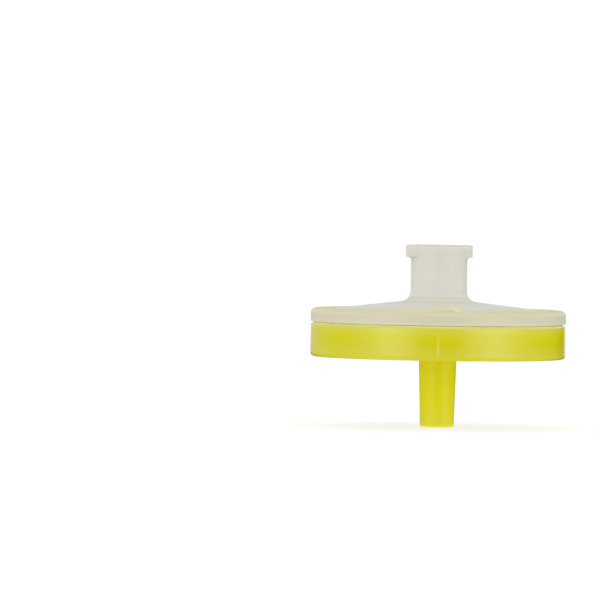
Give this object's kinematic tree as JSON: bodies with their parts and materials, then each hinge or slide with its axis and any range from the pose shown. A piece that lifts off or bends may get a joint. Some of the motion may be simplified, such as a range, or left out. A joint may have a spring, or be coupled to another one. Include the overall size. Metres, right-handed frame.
{
  "type": "syringe filter",
  "caption": "Disc syringe filter with a natural Luer lock inlet half, a yellow Luer slip outlet half and a white membrane clamped between them.",
  "frame": {"origin": "middle of the outlet tip's end face, which the part stands on", "axes": "+Z along the flow axis from the outlet tip up to the inlet, +X through the first lock lug's side"},
  "size_m": [0.03, 0.03, 0.0214],
  "materials": {
    "natural_polypropylene": "milky translucent, moulded satin",
    "white_membrane": "matt, fine open pores",
    "yellow_polypropylene": "tinted translucent, moulded satin"
  },
  "bodies": {
    "root": {"inlet_housing": "natural_polypropylene", "filter_membrane": "white_membrane", "outlet_housing": "yellow_polypropylene"}
  },
  "joints": []
}
